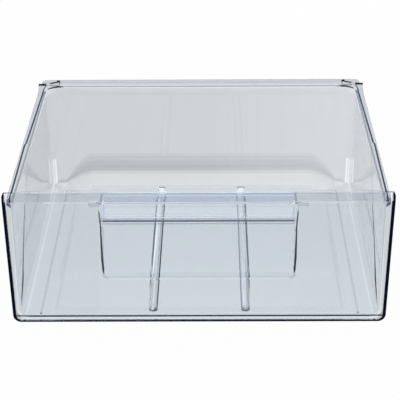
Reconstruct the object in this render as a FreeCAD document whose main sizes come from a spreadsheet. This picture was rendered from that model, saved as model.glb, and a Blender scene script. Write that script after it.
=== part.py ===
import FreeCAD, Part
import math
import os
import re
import Sketcher

# A clear drawer for a refrigerator: a deep tub, a front panel and a finger grip.
# X runs across the width, Y from the front face to the rear, Z up.
# Sketches count Y from the front face and Z from the surface the drawer stands on.
# Each finished piece is then shifted so that the middle of the drawer is the origin.

# Name, value in millimetres, what it is
SIZES = [
    ("drawer_depth", 386.0, "front face to the rear edge of the rim ledge"),
    ("rim_height", 149.0, "top of the sliding rims"),
    ("panel_width", 431.0, "front panel at rim height"),
    ("panel_foot", 422.0, "front panel at its foot"),
    ("panel_rise", 10.5, "top strip of the front panel, above the rims"),
    ("panel_wall", 2.6, "front panel face"),
    ("panel_lean", 3.0, "how far the top strip leans back"),
    ("panel_corner", 9.0, "lower corners of the front panel"),
    ("panel_shoulder", 4.0, "upper corners of the front panel"),
    ("flange_depth", 12.0, "skirt round the front panel, front to rear"),
    ("flange_wall", 2.4, "skirt thickness"),
    ("skirt_taper", 4.0, "skirt left at the top edge, behind the face"),
    ("basin_width", 406.8, "inside width at the rim, at the front"),
    ("basin_foot", 402.8, "inside width at the floor, at the front"),
    ("basin_taper", 1.8, "narrowing of each side towards the rear"),
    ("basin_corner", 18.0, "upright rear corners, inside"),
    ("basin_cove", 45.0, "curve from the floor to the rear wall, inside"),
    ("basin_edge", 8.0, "curve from the floor to the side walls, inside"),
    ("tub_wall", 2.4, "tub walls and floor"),
    ("floor_lift", 5.0, "underside of the floor above the ground"),
    ("cheek_start", 135.0, "where the slanted step meets the rim, from the front"),
    ("cheek_foot", 15.0, "where the slanted step meets the front panel, from the ground"),
    ("rim_span", 423.8, "outer width over the two sliding rims"),
    ("rim_wall", 2.4, "rim plate thickness"),
    ("rim_nose", 7.4, "length of the slanted front end of each rim"),
    ("ear_length", 27.0, "rear end of each rim, where it widens"),
    ("ear_reach", 2.4, "how far the rim widens there"),
    ("ear_tip", 2.0, "straight stretch at the end of that widening"),
    ("shelf_depth", 11.6, "rim plate behind the rear wall"),
    ("shelf_nook", 7.0, "how much shorter that plate is beside the corners"),
    ("nook_start", 187.0, "where the slant of the rear plate starts, from the middle"),
    ("nook_end", 199.0, "where that slant ends, from the middle"),
    ("ledge_depth", 9.0, "lower ledge behind the rim plate"),
    ("ledge_span", 419.0, "width of the lower ledge"),
    ("ledge_corner", 5.0, "rear corners of the ledge"),
    ("stop_rise", 1.2, "height of the two stop pads on the rear plate"),
    ("stop_lap", 3.0, "how far those pads run forward over the rounded corners"),
    ("gusset_depth", 6.8, "depth of the web under the front end of each rim"),
    ("gusset_length", 24.0, "length of that web"),
    ("runner_spacing", 106.0, "between the two hollow runners"),
    ("runner_width", 9.0, "hollow runner, outside"),
    ("runner_groove", 5.0, "hollow runner, inside"),
    ("runner_sole", 2.0, "thickness under the groove"),
    ("runner_start", 13.0, "front end of the runners, from the front face"),
    ("runner_end", 340.0, "rear end of the runners, from the front face"),
    ("blade_wall", 1.4, "thin ribs under the floor"),
    ("blade_spacing", 362.0, "between the two long thin ribs"),
    ("blade_end", 345.0, "cross rib under the curve, from the front face"),
    ("blade_span", 380.0, "length of the cross rib"),
    ("field_width", 324.0, "raised field of the floor"),
    ("field_start", 24.0, "front edge of the raised field, from the front face"),
    ("field_rise", 1.2, "height of the raised field"),
    ("field_slope", 6.0, "width of its sloping border"),
    ("dish_width", 212.0, "finger recess, across"),
    ("dish_foot", 54.0, "lower edge of the finger recess"),
    ("dish_bend", 125.0, "where its sloping back turns upright"),
    ("dish_depth", 22.0, "depth of the finger recess behind the grip"),
    ("dish_wall", 2.2, "wall of the finger recess"),
    ("dish_corner", 8.0, "lower corners of the finger recess"),
    ("grip_width", 218.0, "grip, across"),
    ("grip_height", 23.0, "grip, from its lower edge to the rim height"),
    ("grip_wall", 2.4, "grip thickness"),
    ("grip_lip", 8.0, "lower edge of the grip, folded to the rear"),
    ("grip_bevel", 7.0, "height of the slanted lower corners of the grip"),
    ("grip_inset", 2.0, "width of those corners"),
    ("tab_length", 12.0, "locating tabs at the ends of the grip"),
    ("tab_drop", 5.0, "height of the locating tabs"),
    ("seam", 0.15, "clearance between bonded pieces"),
]

SHEET = "Sizes"
NAMES = {name for name, value, meaning in SIZES}

# Cutting shapes reach this far past the piece they cut
MARGIN = "20"

# Places closer than this count as one
CLOSE = 0.01

doc = FreeCAD.newDocument("refrigerator_drawer")


def make_sheet():
    sheet = doc.addObject("Spreadsheet::Sheet", SHEET)
    for row, (name, value, meaning) in enumerate(SIZES, start=1):
        sheet.set(f"A{row}", meaning)
        sheet.set(f"B{row}", str(value))
        sheet.setAlias(f"B{row}", name)
    doc.recompute()
    return sheet


sheet = make_sheet()


def bound(formula):
    """The formula with every size taken from the sheet."""

    def place(word):
        return f"{SHEET}.{word.group(0)}" if word.group(0) in NAMES else word.group(0)

    return re.sub(r"[a-z_]+", place, formula)


def number(formula):
    """The present value of a formula."""
    return float(sheet.evalExpression(bound(formula)))


def same(first, second):
    """Whether two coordinates agree."""
    return abs(first - second) < CLOSE


def runs_along(axis, direction):
    """Whether a direction lies closer to the named axis than to the other two."""
    parts = {"x": abs(direction.x), "y": abs(direction.y), "z": abs(direction.z)}
    return max(parts, key=parts.get) == axis


# Shared ways to draw and join

def origin_plane(body, role):
    for feature in body.Origin.OriginFeatures:
        if feature.Role == role:
            return feature
    raise ValueError(role)


def new_sketch(body, name, role, level):
    """A sketch on one of the body's own planes, lifted off it by level."""
    sketch = body.newObject("Sketcher::SketchObject", name)
    sketch.AttachmentSupport = [(origin_plane(body, role), "")]
    sketch.MapMode = "FlatFace"
    sketch.setExpression("AttachmentOffset.Base.z", bound(level))
    return sketch


def pin(sketch, kind, piece, point, formula):
    """Ties one coordinate of a sketch point to a formula."""
    rule = Sketcher.Constraint(kind, -1, 1, piece, point, number(formula))
    index = sketch.addConstraint(rule)
    sketch.setExpression(f"Constraints[{index}]", bound(formula))


def draw_outline(sketch, corners):
    """A closed outline of straight lines through corners given as formulas."""
    places = [FreeCAD.Vector(number(across), number(along), 0) for across, along in corners]
    count = len(corners)
    for index in range(count):
        line = Part.LineSegment(places[index], places[(index + 1) % count])
        sketch.addGeometry(line, False)
    for index in range(count):
        sketch.addConstraint(Sketcher.Constraint("Coincident", index, 2, (index + 1) % count, 1))
    for index, (across, along) in enumerate(corners):
        pin(sketch, "DistanceX", index, 1, across)
        pin(sketch, "DistanceY", index, 1, along)


def prism(name, role, corners, start, length):
    """A body padded from an outline, from start over length along its plane's axis.

    On the YZ plane the pad is centred on start."""
    body = doc.addObject("PartDesign::Body", name)
    towards_rear = role == "XZ_Plane"
    level = f"-({start})" if towards_rear else start
    sketch = new_sketch(body, f"{name}_outline", role, level)
    draw_outline(sketch, corners)
    pad = body.newObject("PartDesign::Pad", f"{name}_pad")
    pad.Profile = sketch
    pad.setExpression("Length", bound(length))
    pad.Reversed = towards_rear
    if role == "YZ_Plane":
        pad.SideType = "Symmetric"
    return body


def tapered(name, role, sections):
    """A body lofted between two outlines, each given as its corners and its level."""
    body = doc.addObject("PartDesign::Body", name)
    sketches = []
    for index, (corners, level) in enumerate(sections):
        sketch = new_sketch(body, f"{name}_section_{index}", role, level)
        draw_outline(sketch, corners)
        sketches.append(sketch)
    loft = body.newObject("PartDesign::AdditiveLoft", f"{name}_loft")
    loft.Profile = sketches[0]
    loft.Sections = sketches[1:]
    loft.Ruled = True
    return body


def stadium(name, middle, near, far, width, base, top):
    """A body with round ends along Y, between two heights."""
    body = doc.addObject("PartDesign::Body", name)
    sketch = new_sketch(body, f"{name}_outline", "XY_Plane", base)
    x = number(middle)
    y_near = number(near)
    y_far = number(far)
    half = number(width) / 2
    up = FreeCAD.Vector(0, 0, 1)
    right = Part.LineSegment(
        FreeCAD.Vector(x + half, y_near, 0),
        FreeCAD.Vector(x + half, y_far, 0),
    )
    left = Part.LineSegment(
        FreeCAD.Vector(x - half, y_far, 0),
        FreeCAD.Vector(x - half, y_near, 0),
    )
    far_circle = Part.Circle(FreeCAD.Vector(x, y_far, 0), up, half)
    near_circle = Part.Circle(FreeCAD.Vector(x, y_near, 0), up, half)
    sides = [
        right,
        Part.ArcOfCircle(far_circle, 0, math.pi),
        left,
        Part.ArcOfCircle(near_circle, math.pi, 2 * math.pi),
    ]
    for side in sides:
        sketch.addGeometry(side, False)
    for index in range(len(sides)):
        rule = Sketcher.Constraint("Tangent", index, 2, (index + 1) % len(sides), 1)
        sketch.addConstraint(rule)
    sketch.addConstraint(Sketcher.Constraint("Vertical", 0))
    pin(sketch, "DistanceX", 1, 3, middle)
    pin(sketch, "DistanceY", 1, 3, far)
    pin(sketch, "DistanceY", 3, 3, near)
    radius = sketch.addConstraint(Sketcher.Constraint("Radius", 1, half))
    sketch.setExpression(f"Constraints[{radius}]", bound(f"({width}) / 2"))
    pad = body.newObject("PartDesign::Pad", f"{name}_pad")
    pad.Profile = sketch
    pad.setExpression("Length", bound(f"({top}) - ({base})"))
    return body


def joined(name, pieces):
    fuse = doc.addObject("Part::MultiFuse", name)
    fuse.Shapes = pieces
    return fuse


def less(name, base, tool):
    """The base with the tool taken out of it; the tool has to bite."""
    cut = doc.addObject("Part::Cut", name)
    cut.Base = base
    cut.Tool = tool
    doc.recompute()
    if cut.Shape.Volume >= base.Shape.Volume - CLOSE:
        raise ValueError(f"{name} takes nothing away")
    return cut


def shared(name, first, second):
    common = doc.addObject("Part::Common", name)
    common.Base = first
    common.Tool = second
    return common


def softened(name, base, choose):
    """The base with rounded edges; choose gives an edge's radius, or None."""
    doc.recompute()
    rounds = []
    for index, edge in enumerate(base.Shape.Edges, start=1):
        if edge.isClosed():
            continue
        ends = [vertex.Point for vertex in edge.Vertexes]
        radius = choose((ends[0] + ends[-1]) * 0.5, (ends[-1] - ends[0]).normalize())
        if radius is not None:
            rounds.append((index, radius, radius))
    if not rounds:
        raise ValueError(f"{name} finds no edge to round")
    fillet = doc.addObject("Part::Fillet", name)
    fillet.Base = base
    fillet.Edges = rounds
    return fillet


def mirrored_corners(right_side):
    """A closed outline from its right side, listed front to rear, mirrored to the left."""
    left_side = [(f"-({across})", along) for across, along in reversed(right_side)]
    return right_side + left_side


# The tub: the rear plate's edge, the inner face of the rear wall, the floor inside,
# the slope of the side walls and the top of the ribs, which end inside the floor

SHELF = "(drawer_depth - ledge_depth)"
REAR_WALL = f"({SHELF} - shelf_depth - tub_wall)"
FLOOR = "(floor_lift + tub_wall)"
SPREAD = "((basin_width - basin_foot) / 2 / (rim_height - floor_lift - tub_wall))"
RIB_TOP = f"({FLOOR} + basin_cove / 2)"


def basin_half(height, taper="0"):
    """Half of the inside width at a height, less the taper reached there."""
    return f"(basin_foot / 2 + {SPREAD} * (({height}) - {FLOOR}) - ({taper}))"


def basin_section(low, high, taper, wall):
    """A cross section of the tub's inside, grown by wall to each side."""
    foot = f"{basin_half(low, taper)} + ({wall})"
    head = f"{basin_half(high, taper)} + ({wall})"
    return [(f"-({foot})", low), (foot, low), (head, high), (f"-({head})", high)]


def tub_form(name, low, high, wall):
    """The tub's inside, or its outside when wall is added, with its curves."""
    rear = f"{REAR_WALL} + ({wall})"
    near = basin_section(low, high, "0", wall)
    far = basin_section(low, high, "basin_taper", wall)
    form = tapered(f"{name}_form", "XZ_Plane", [(far, f"-({rear})"), (near, "-panel_wall")])
    bottom = number(low)
    rear_place = number(rear)
    grow = number(wall)
    corner = number("basin_corner") + grow
    cove = number("basin_cove") + grow
    edge_round = number("basin_edge") + grow

    def choose(middle, direction):
        at_rear = same(middle.y, rear_place)
        at_bottom = same(middle.z, bottom)
        if at_rear and at_bottom:
            return cove
        if at_rear and runs_along("z", direction):
            return corner
        if at_bottom and runs_along("y", direction):
            return edge_round
        return None

    return softened(name, form, choose)


def cheek_form(name, top, wall):
    """The straight-walled front of the tub, ahead of the slanted step."""
    rise = "((rim_height - cheek_foot) / (cheek_start - panel_wall))"
    shift = f"({wall}) * sqrt(1 + 1 / {rise} ^ 2)"
    foot = f"cheek_foot - {rise} * ({shift})"
    head_y = f"cheek_start + ({shift}) + (({top}) - rim_height) / {rise}"
    corners = [("panel_wall", foot), (head_y, top), ("panel_wall", top)]
    return prism(name, "YZ_Plane", corners, "0", f"basin_width + 2 * ({wall})")


def rim_plate():
    """The sliding rims and the plate behind the rear wall, in one level."""
    root = f"{basin_half('rim_height')} + tub_wall"
    rim = "rim_span / 2"
    ear_rear = f"{SHELF} - shelf_nook"
    side = [
        (root, "panel_wall"),
        (rim, "panel_wall + rim_nose"),
        (rim, f"{ear_rear} - ear_length"),
        (f"{rim} + ear_reach", f"{ear_rear} - ear_tip"),
        (f"{rim} + ear_reach", ear_rear),
        ("nook_end", ear_rear),
        ("nook_start", SHELF),
    ]
    corners = mirrored_corners(side)
    return prism("rim_plate", "XY_Plane", corners, "rim_height - rim_wall", "rim_wall")


def rim_ledge():
    """The lower ledge that stands behind the plate, lapped under its edge."""
    outer = "ledge_span / 2"
    corner_front = f"{SHELF} - shelf_nook - rim_wall"
    side = [
        ("nook_start", f"{SHELF} - rim_wall"),
        ("nook_end", corner_front),
        (outer, corner_front),
        (outer, "drawer_depth"),
    ]
    corners = mirrored_corners(side)
    ledge = prism("ledge_plate", "XY_Plane", corners, "rim_height - 2 * rim_wall", "rim_wall")
    rear = number("drawer_depth")
    corner = number("ledge_corner")

    def choose(middle, direction):
        upright = runs_along("z", direction)
        return corner if upright and same(middle.y, rear) else None

    return softened("rim_ledge", ledge, choose)


def stop_pad(side, name):
    """A low slanted pad on the rear plate, beside one corner."""
    front = f"{REAR_WALL} - stop_lap"
    corners = [
        (f"{side} * nook_start", front),
        (f"{side} * nook_end", front),
        (f"{side} * nook_end", f"{SHELF} - shelf_nook"),
        (f"{side} * nook_start", SHELF),
    ]
    sunk = "rim_wall / 2"
    return prism(name, "XY_Plane", corners, f"rim_height - {sunk}", f"stop_rise + {sunk}")


def gusset(side, name):
    """The web that ties the front end of one rim to the side wall."""
    root = f"{side} * ({basin_half('rim_height')} + tub_wall / 2)"
    tip = f"{side} * rim_span / 2"
    corners = [
        (root, "panel_wall"),
        (f"{side} * (basin_width / 2 + tub_wall)", "panel_wall"),
        (tip, "panel_wall + rim_nose"),
        (root, "panel_wall + gusset_length"),
    ]
    low = "rim_height - gusset_depth"
    return prism(name, "XY_Plane", corners, low, "gusset_depth - rim_wall / 2")


def long_blade(side, name):
    """One thin rib along the floor, notched over the skirt of the front panel."""
    body = doc.addObject("PartDesign::Body", name)
    sketch = new_sketch(body, f"{name}_outline", "YZ_Plane", f"{side} * blade_spacing / 2")
    notch_height = "flange_wall + seam"
    notch_depth = "flange_depth + seam"
    corners = [
        ("panel_wall", notch_height),
        (notch_depth, notch_height),
        (notch_depth, "0"),
        ("blade_end", "0"),
        ("blade_end", f"{FLOOR} + basin_cove"),
        (f"{REAR_WALL} - basin_cove", FLOOR),
        ("panel_wall", FLOOR),
    ]
    draw_outline(sketch, corners)
    pad = body.newObject("PartDesign::Pad", f"{name}_pad")
    pad.Profile = sketch
    pad.SideType = "Symmetric"
    pad.setExpression("Length", bound("blade_wall"))
    return body


def cross_blade():
    """The thin rib across the tub, under the curve to the rear wall."""
    half = "blade_span / 2"
    corners = [(f"-{half}", "0"), (half, "0"), (half, RIB_TOP), (f"-{half}", RIB_TOP)]
    return prism("cross_blade", "XZ_Plane", corners, "blade_end - blade_wall", "blade_wall")


def floor_field(name, low):
    """The shallow raised field with its sloping border, from low upwards."""

    def border(grow):
        half = f"(field_width / 2 + {grow})"
        front = f"field_start - {grow}"
        return [(f"-{half}", front), (half, front), (half, REAR_WALL), (f"-{half}", REAR_WALL)]

    low_edge = (border("field_slope"), low)
    high_edge = (border("0"), f"({low}) + field_rise")
    return tapered(name, "XY_Plane", [low_edge, high_edge])


def make_tub():
    solids = [
        tub_form("tub_outside", "floor_lift", "rim_height", "tub_wall"),
        cheek_form("cheeks_outside", "rim_height", "tub_wall"),
        rim_plate(),
        rim_ledge(),
    ]
    hollows = []
    ribs = [cross_blade()]
    for side, word in ((-1, "left"), (1, "right")):
        middle = f"{side} * runner_spacing / 2"
        near = "runner_start + runner_width / 2"
        far = "runner_end - runner_width / 2"
        solids.append(gusset(side, f"gusset_{word}"))
        solids.append(stop_pad(side, f"stop_pad_{word}"))
        ribs.append(long_blade(side, f"long_blade_{word}"))
        route = (middle, near, far)
        ribs.append(stadium(f"runner_{word}", *route, "runner_width", "0", RIB_TOP))
        groove = stadium(f"groove_{word}", *route, "runner_groove", "runner_sole", RIB_TOP)
        hollows.append(groove)
    hollow_below = floor_field("field_below", "floor_lift")
    outside = less("tub_underside", joined("tub_walls", solids), hollow_below)
    outside = joined("tub_on_ribs", [outside] + ribs)
    top = f"rim_height + {MARGIN}"
    room = joined("room", [
        tub_form("tub_inside", FLOOR, top, "0"),
        cheek_form("cheeks_inside", top, "0"),
    ])
    room = less("room_over_field", room, floor_field("field_above", FLOOR))
    return less("tub", outside, joined("room_with_grooves", [room] + hollows))


# The front panel

PANEL_SPREAD = "((panel_width - panel_foot) / 2 / rim_height)"
PANEL_TOP = "(rim_height + panel_rise)"


def panel_half(height, inset="0"):
    return f"(panel_foot / 2 + {PANEL_SPREAD} * ({height}) - ({inset}))"


def panel_block():
    """The panel's outline over the depth of its skirt, with rounded corners."""
    foot = panel_half("0")
    head = panel_half(PANEL_TOP)
    corners = [
        (f"-{foot}", "0"),
        (foot, "0"),
        (head, PANEL_TOP),
        (f"-{head}", PANEL_TOP),
    ]
    block = prism("panel_block", "XZ_Plane", corners, "0", "flange_depth")
    low = number("panel_corner")
    high = number("panel_shoulder")

    def choose(middle, direction):
        if not runs_along("y", direction):
            return None
        return low if same(middle.z, 0) else high

    return softened("panel_outline", block, choose)


def panel_hollow():
    """The space behind the face and inside the skirt, open at the top."""
    foot = panel_half("flange_wall", "flange_wall")
    top = f"{PANEL_TOP} + {MARGIN}"
    head = panel_half(top, "flange_wall")
    low = "flange_wall"
    corners = [(f"-{foot}", low), (foot, low), (head, top), (f"-{head}", top)]
    depth = f"flange_depth + {MARGIN}"
    plain = prism("hollow_plain", "XZ_Plane", corners, "0", depth)
    low_place = number(low)
    radius = number("panel_corner") - number("flange_wall")

    def choose(middle, direction):
        at_foot = same(middle.z, low_place)
        return radius if at_foot and runs_along("y", direction) else None

    inside = softened("hollow_outline", plain, choose)
    lean = "panel_lean / panel_rise"
    profile = [
        ("panel_wall", "0"),
        ("panel_wall", "rim_height"),
        (f"panel_wall + {lean} * (panel_rise + {MARGIN})", top),
        (depth, top),
        (depth, "0"),
    ]
    behind = prism("behind_face", "YZ_Plane", profile, "0", f"panel_width + {MARGIN}")
    return shared("panel_hollow", inside, behind)


def panel_trims():
    """What is cut off so that the top strip leans back and the skirt runs out."""
    width = f"panel_width + {MARGIN}"
    above = f"{PANEL_TOP} + {MARGIN}"
    ahead = f"-{MARGIN}"
    behind = f"flange_depth + {MARGIN}"
    thin = "panel_lean + skirt_taper"
    front = [
        (ahead, "rim_height"),
        ("0", "rim_height"),
        ("panel_lean", PANEL_TOP),
        ("panel_lean", above),
        (ahead, above),
    ]
    rear = [
        ("flange_depth", "rim_height"),
        (thin, PANEL_TOP),
        (thin, above),
        (behind, above),
        (behind, "rim_height"),
    ]
    return joined("panel_trims", [
        prism("front_trim", "YZ_Plane", front, "0", width),
        prism("rear_trim", "YZ_Plane", rear, "0", width),
    ])


def dish_form(name, wall, front, top):
    """The finger recess, or the walls round it when wall is added."""
    profile = [
        (front, "dish_foot"),
        (wall, "dish_foot"),
        (f"dish_depth + ({wall})", "dish_bend"),
        (f"dish_depth + ({wall})", top),
        (front, top),
    ]
    half = f"dish_width / 2 + ({wall})"
    foot = f"dish_foot - ({wall})"
    slope = prism(f"{name}_slope", "YZ_Plane", profile, "0", f"2 * ({half})")
    corners = mirrored_corners([(half, foot), (half, top)])
    length = f"dish_depth + ({wall}) - ({front})"
    plain = prism(f"{name}_plain", "XZ_Plane", corners, front, length)
    radius = number("dish_corner") + number(wall)
    low = number(foot)

    def choose(middle, direction):
        at_foot = same(middle.z, low)
        return radius if at_foot and runs_along("y", direction) else None

    return shared(name, slope, softened(f"{name}_outline", plain, choose))


def grip_outline(grow):
    """The grip seen from the front, with slanted lower corners."""
    half = f"grip_width / 2 + ({grow})"
    low = f"rim_height - grip_height - ({grow})"
    top = f"rim_height + ({grow})"
    return mirrored_corners([
        (f"{half} - grip_inset", low),
        (half, f"{low} + grip_bevel"),
        (half, top),
    ])


def make_front_panel():
    ahead = f"-{MARGIN}"
    outline = less("panel_trimmed", panel_block(), panel_trims())
    shell = less("panel_shell", outline, panel_hollow())
    walls = dish_form("dish_walls", "dish_wall", "0", "rim_height - grip_wall")
    solid = joined("panel_with_dish", [shell, walls])
    recess = dish_form("dish_room", "0", ahead, "rim_height + seam")
    through = f"panel_wall + seam + {MARGIN}"
    seat = prism("grip_seat", "XZ_Plane", grip_outline("seam"), ahead, through)
    return less("front_panel", solid, joined("panel_openings", [recess, seat]))


# The finger grip

def make_handle_grip():
    """A folded lip and a top plate that close the recess, with end webs and tabs."""
    half = "dish_width / 2 - seam"
    plate_half = "dish_width / 2 + dish_wall"
    behind_face = "panel_wall + seam"
    low = "rim_height - grip_height"
    plate_low = "rim_height - grip_wall"
    face = prism("grip_face", "XZ_Plane", grip_outline("0"), "0", "grip_wall")
    lip_side = [(half, "0"), (half, "grip_lip")]
    lip = prism("grip_return", "XY_Plane", mirrored_corners(lip_side), low, "grip_wall")
    plate_side = [(plate_half, behind_face), (plate_half, "dish_depth + dish_wall")]
    plate_corners = mirrored_corners(plate_side)
    plate = prism("grip_plate", "XY_Plane", plate_corners, plate_low, "grip_wall")
    neck_side = [("dish_width / 2", "0"), ("dish_width / 2", "dish_depth")]
    neck_corners = mirrored_corners(neck_side)
    neck = prism("grip_neck", "XY_Plane", neck_corners, plate_low, "grip_wall")
    pieces = [face, lip, plate, neck]
    for side, word in ((-1, "left"), (1, "right")):
        outer = f"{side} * ({half})"
        inner = f"{side} * ({half} - grip_wall)"
        web = [(outer, "0"), (outer, "grip_lip"), (inner, "grip_lip"), (inner, "0")]
        pieces.append(prism(f"end_web_{word}", "XY_Plane", web, low, "grip_height"))
        reach = f"{side} * (grip_width / 2 + tab_length)"
        root = f"{side} * ({plate_half})"
        rear = f"{behind_face} + grip_wall"
        tab = [(root, behind_face), (reach, behind_face), (reach, rear), (root, rear)]
        pieces.append(prism(f"tab_{word}", "XY_Plane", tab, "rim_height - tab_drop", "tab_drop"))
    return joined("handle_grip", pieces)


# Finished pieces

def check(pieces):
    for item in doc.Objects:
        if "Invalid" in item.State or "Error" in item.State:
            raise ValueError(f"{item.Label} failed: {item.State}")
    for piece in pieces:
        shape = piece.Shape
        if shape.isNull() or not shape.isValid() or len(shape.Solids) != 1:
            raise ValueError(f"{piece.Label} is not one sound solid")
        box = shape.optimalBoundingBox()
        print(piece.Label, "volume", round(shape.Volume / 1000, 1), "cm3",
              "x", round(box.XMin, 2), round(box.XMax, 2),
              "y", round(box.YMin, 2), round(box.YMax, 2),
              "z", round(box.ZMin, 2), round(box.ZMax, 2))


finished = [make_tub(), make_front_panel(), make_handle_grip()]
for piece in finished:
    piece.setExpression("Placement.Base.y", bound("-drawer_depth / 2"))
doc.recompute()
check(finished)
os.makedirs("parts", exist_ok=True)
for piece in finished:
    piece.Shape.exportStep(f"parts/{piece.Label}.step")
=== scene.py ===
import bpy
import bmesh
import math
from mathutils import Matrix, Vector


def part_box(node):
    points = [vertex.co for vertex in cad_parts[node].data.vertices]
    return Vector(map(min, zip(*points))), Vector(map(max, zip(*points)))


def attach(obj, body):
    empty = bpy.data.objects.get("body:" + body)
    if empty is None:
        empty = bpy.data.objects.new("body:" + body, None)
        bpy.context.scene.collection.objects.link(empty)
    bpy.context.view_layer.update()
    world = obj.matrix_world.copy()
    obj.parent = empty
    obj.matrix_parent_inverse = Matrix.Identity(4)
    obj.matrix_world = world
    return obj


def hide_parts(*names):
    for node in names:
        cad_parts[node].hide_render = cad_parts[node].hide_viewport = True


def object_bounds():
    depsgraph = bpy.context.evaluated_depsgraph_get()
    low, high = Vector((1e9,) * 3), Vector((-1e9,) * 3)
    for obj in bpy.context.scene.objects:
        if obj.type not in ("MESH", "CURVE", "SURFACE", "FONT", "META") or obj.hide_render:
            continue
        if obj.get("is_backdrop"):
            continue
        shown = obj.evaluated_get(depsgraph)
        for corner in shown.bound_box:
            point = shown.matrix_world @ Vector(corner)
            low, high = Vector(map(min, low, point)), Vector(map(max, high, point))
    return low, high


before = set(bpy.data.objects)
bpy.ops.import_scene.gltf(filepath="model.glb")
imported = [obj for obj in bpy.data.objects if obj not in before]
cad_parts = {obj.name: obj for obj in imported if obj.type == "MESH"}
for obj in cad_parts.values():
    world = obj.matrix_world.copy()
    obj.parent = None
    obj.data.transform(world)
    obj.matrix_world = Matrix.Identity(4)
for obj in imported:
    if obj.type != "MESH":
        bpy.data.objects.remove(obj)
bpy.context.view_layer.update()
scene = bpy.context.scene

# The camera stands in front of the drawer and above it, a little to the right of its
# middle, and looks down at its front panel through a long lens.
camera_place = (0.01678, -1.64374, 0.82891)
camera_tilt = 25.0
camera_turn = 0.59
camera_roll = -0.425
sensor_width = 36.0
lens_length = 131.9

camera = bpy.data.objects.new("camera", bpy.data.cameras.new("camera"))
scene.collection.objects.link(camera)
camera.data.sensor_width = sensor_width
camera.data.lens = lens_length
aim = Matrix.Rotation(math.radians(camera_turn), 4, "Z")
aim = aim @ Matrix.Rotation(math.radians(90 - camera_tilt), 4, "X")
aim = aim @ Matrix.Rotation(math.radians(camera_roll), 4, "Z")
camera.matrix_world = Matrix.Translation(camera_place) @ aim
scene.camera = camera
scene.view_settings.view_transform = "Standard"

# The table is a pale round sheet. It is white to the eye and through clear plastic, and a
# share of its own shading stays, so that it keeps the drawer's shadow.
table_radius = 30.0
table_drop = 0.0004
table_sides = 96
table_colour = (0.86, 0.87, 0.88, 1)
table_white = 0.97
white = (1, 1, 1, 1)

table_mesh = bpy.data.meshes.new("table")
ring = [2 * math.pi * side / table_sides for side in range(table_sides)]
edge = [(table_radius * math.cos(a), table_radius * math.sin(a), -table_drop) for a in ring]
table_mesh.from_pydata(edge, [], [tuple(range(table_sides))])
table = bpy.data.objects.new("table", table_mesh)
scene.collection.objects.link(table)
table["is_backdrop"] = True


def larger(tree, first, second):
    """The larger of two values."""
    node = tree.nodes.new("ShaderNodeMath")
    node.operation = "MAXIMUM"
    tree.links.new(first, node.inputs[0])
    tree.links.new(second, node.inputs[1])
    return node.outputs[0]


table_paint = bpy.data.materials.new("table_paint")
table_paint.use_nodes = True
tree = table_paint.node_tree
nodes = tree.nodes
nodes.remove(nodes["Principled BSDF"])
matt = nodes.new("ShaderNodeBsdfDiffuse")
matt.inputs["Color"].default_value = table_colour
bright = nodes.new("ShaderNodeEmission")
bright.inputs["Color"].default_value = white
bright.inputs["Strength"].default_value = 1.0
path = nodes.new("ShaderNodeLightPath")
seen = larger(tree, path.outputs["Is Camera Ray"], path.outputs["Is Glossy Ray"])
seen_in_plastic = larger(tree, seen, path.outputs["Is Transmission Ray"])
share = nodes.new("ShaderNodeMath")
share.operation = "MULTIPLY"
share.inputs[1].default_value = table_white
mixed = nodes.new("ShaderNodeMixShader")
tree.links.new(seen_in_plastic, share.inputs[0])
tree.links.new(share.outputs[0], mixed.inputs["Fac"])
tree.links.new(matt.outputs[0], mixed.inputs[1])
tree.links.new(bright.outputs[0], mixed.inputs[2])
tree.links.new(mixed.outputs[0], nodes["Material Output"].inputs["Surface"])
table_mesh.materials.append(table_paint)

# The room is white to the eye. What the plastic mirrors is a dim room with a large soft
# light overhead, so the walls keep darker and lighter bands.
room_dim = (0.03, 0.055, 0.12, 1)
room_diffuse = (0.9, 0.9, 0.9, 1)
light_start = 0.4
light_full = 0.75
first_colour = 6
second_colour = 7
mixed_colour = 2


def colour_mix(nodes, second):
    """A mix of two colours, of which the second is given."""
    mixer = nodes.new("ShaderNodeMix")
    mixer.data_type = "RGBA"
    mixer.inputs[second_colour].default_value = second
    return mixer


room = bpy.data.worlds.new("room")
scene.world = room
room.use_nodes = True
nodes = room.node_tree.nodes
links = room.node_tree.links
sky = nodes["Background"]
place = nodes.new("ShaderNodeTexCoord")
split = nodes.new("ShaderNodeSeparateXYZ")
overhead = nodes.new("ShaderNodeValToRGB")
dim_end, light_end = overhead.color_ramp.elements
dim_end.position = light_start
dim_end.color = room_dim
light_end.position = light_full
light_end.color = white
path = nodes.new("ShaderNodeLightPath")
plain = colour_mix(nodes, room_diffuse)
backdrop = colour_mix(nodes, white)
links.new(place.outputs["Generated"], split.inputs[0])
links.new(split.outputs["Z"], overhead.inputs[0])
links.new(overhead.outputs[0], plain.inputs[first_colour])
links.new(path.outputs["Is Diffuse Ray"], plain.inputs["Factor"])
links.new(plain.outputs[mixed_colour], backdrop.inputs[first_colour])
links.new(path.outputs["Is Camera Ray"], backdrop.inputs["Factor"])
links.new(backdrop.outputs[mixed_colour], sky.inputs["Color"])
sky.inputs["Strength"].default_value = 1.0

# The tub is one moulding of clear styrene: floor, side walls, rear wall, sliding rims and
# rear ledge, all in one even wall. Its open front ends at the back of the front panel and
# is bonded there.
MM = 0.001
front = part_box("front_panel")[0].y
plastic_bend = 1.53
plastic_depth_colour = (0.0, 0.35, 0.75, 1)
tub_tint = (0.85, 0.866, 0.886)
tub_depth = 12.0
# Painted shade and painted glow: a near-black blue that darkens the plastic where it should show dark,
# a pale glow for painted highlights and glints, and a dark grey-blue for the painted shade line along
# the rims.
painted_shade_colour = (0.004, 0.006, 0.018, 1)
painted_glow_colour = (0.60, 0.635, 0.69, 1)
no_glow = (0, 0, 0, 1)
rim_line_colour = (0.075, 0.1, 0.15, 1)
edge_roughness = 0.25
dark_slot = 1
rim_slot = 2
sharp_turn = math.radians(35)


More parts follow.
